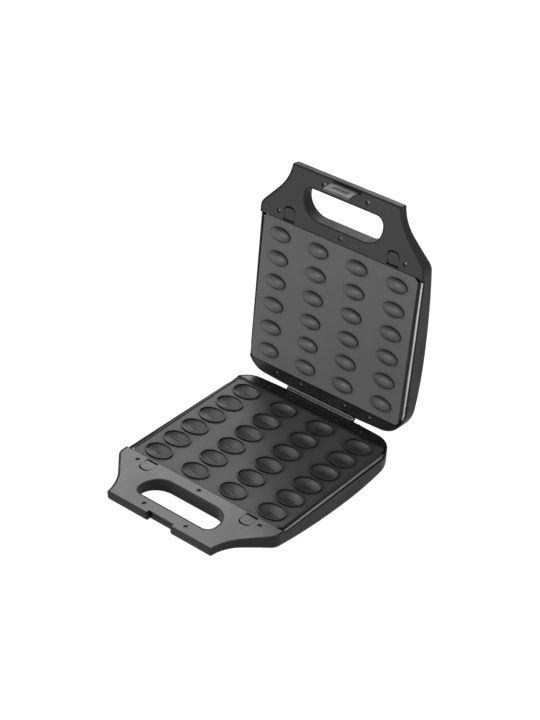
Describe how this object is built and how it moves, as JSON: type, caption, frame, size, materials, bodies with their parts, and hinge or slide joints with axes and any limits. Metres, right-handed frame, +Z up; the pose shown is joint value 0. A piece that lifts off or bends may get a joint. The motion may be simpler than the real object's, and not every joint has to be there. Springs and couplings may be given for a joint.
{
  "type": "multi-plate waffle maker",
  "caption": "Countertop cooker with a hinged lid: dark plates with rows of oval forms, open handles at the front, a hook latch, and slide buttons that release the plates.",
  "frame": {"origin": "centre of the bounding box with the lid open, at the undersides of the feet", "axes": "+X to the right seen from the handles, +Y from the handles to the hinge, +Z up"},
  "size_m": [0.2514, 0.3539, 0.3373],
  "materials": {
    "casing_plastic": "fine satin moulded surface",
    "panel_plastic": "fine satin moulded surface",
    "latch_plastic": "fine satin moulded surface",
    "nonstick_plate": "cast aluminium under a dark glossy non-stick coating",
    "reflector_steel": "bright drawn sheet",
    "element_steel": "tube dulled by heat",
    "screw_steel": "plated",
    "spring_steel": "spring strip",
    "pin_steel": "drawn rod",
    "thermostat_metal": "pressed can",
    "fuse_metal": "tinned can",
    "foot_rubber": "soft dark rubber",
    "red_lens": "clear coloured lens",
    "green_lens": "clear coloured lens"
  },
  "bodies": {
    "base": {"base_casing": "casing_plastic", "base_handle_panel": "panel_plastic", "base_hinge_panel": "panel_plastic", "base_plate": "nonstick_plate", "base_tray": "reflector_steel", "base_heating_element": "element_steel", "base_screws": "screw_steel", "base_release_spring_left": "spring_steel", "base_release_spring_right": "spring_steel", "hinge_pin": "pin_steel", "foot_front_left": "foot_rubber", "foot_front_right": "foot_rubber", "foot_rear_left": "foot_rubber", "foot_rear_right": "foot_rubber", "cord_gland": "panel_plastic", "thermostat": "thermostat_metal"},
    "lid": {"lid_casing": "casing_plastic", "lid_handle_panel": "panel_plastic", "lid_hinge_panel": "panel_plastic", "lid_plate": "nonstick_plate", "lid_tray": "reflector_steel", "lid_heating_element": "element_steel", "lid_screws": "screw_steel", "lid_release_spring_left": "spring_steel", "lid_release_spring_right": "spring_steel", "latch_pin": "pin_steel", "latch_spring": "spring_steel", "power_lamp": "red_lens", "ready_lamp": "green_lens", "thermal_fuse": "fuse_metal"},
    "latch": {"latch": "latch_plastic"},
    "base_release_button_left": {"base_release_button_left": "panel_plastic"},
    "base_release_button_right": {"base_release_button_right": "panel_plastic"},
    "lid_release_button_left": {"lid_release_button_left": "panel_plastic"},
    "lid_release_button_right": {"lid_release_button_right": "panel_plastic"}
  },
  "joints": [
    {"name": "lid_hinge", "type": "hinge", "parent": "base", "child": "lid", "pos_m": [0, 0.12659, 0.036], "axis": [1, 0, 0], "range_deg": [0, 97.13]},
    {"name": "latch_pivot", "type": "hinge", "parent": "lid", "child": "latch", "pos_m": [0, 0.16902, 0.33091], "axis": [-1, 0, 0], "range_deg": [0, 9.5], "stiffness_Nm_per_rad": 0.25, "springref_deg": -20.05, "deforming": ["latch_spring"]},
    {"name": "base_release_left_slide", "type": "slide", "parent": "base", "child": "base_release_button_left", "axis": [0, -1, 0], "range_m": [0, 0.0024], "stiffness_N_per_m": 300, "springref_m": -0.004, "deforming": ["base_release_spring_left"]},
    {"name": "base_release_right_slide", "type": "slide", "parent": "base", "child": "base_release_button_right", "axis": [0, -1, 0], "range_m": [0, 0.0024], "stiffness_N_per_m": 300, "springref_m": -0.004, "deforming": ["base_release_spring_right"]},
    {"name": "lid_release_left_slide", "type": "slide", "parent": "lid", "child": "lid_release_button_left", "axis": [0, 0.1241, 0.9923], "range_m": [0, 0.0024], "stiffness_N_per_m": 300, "springref_m": -0.004, "deforming": ["lid_release_spring_left"]},
    {"name": "lid_release_right_slide", "type": "slide", "parent": "lid", "child": "lid_release_button_right", "axis": [0, 0.1241, 0.9923], "range_m": [0, 0.0024], "stiffness_N_per_m": 300, "springref_m": -0.004, "deforming": ["lid_release_spring_right"]}
  ]
}
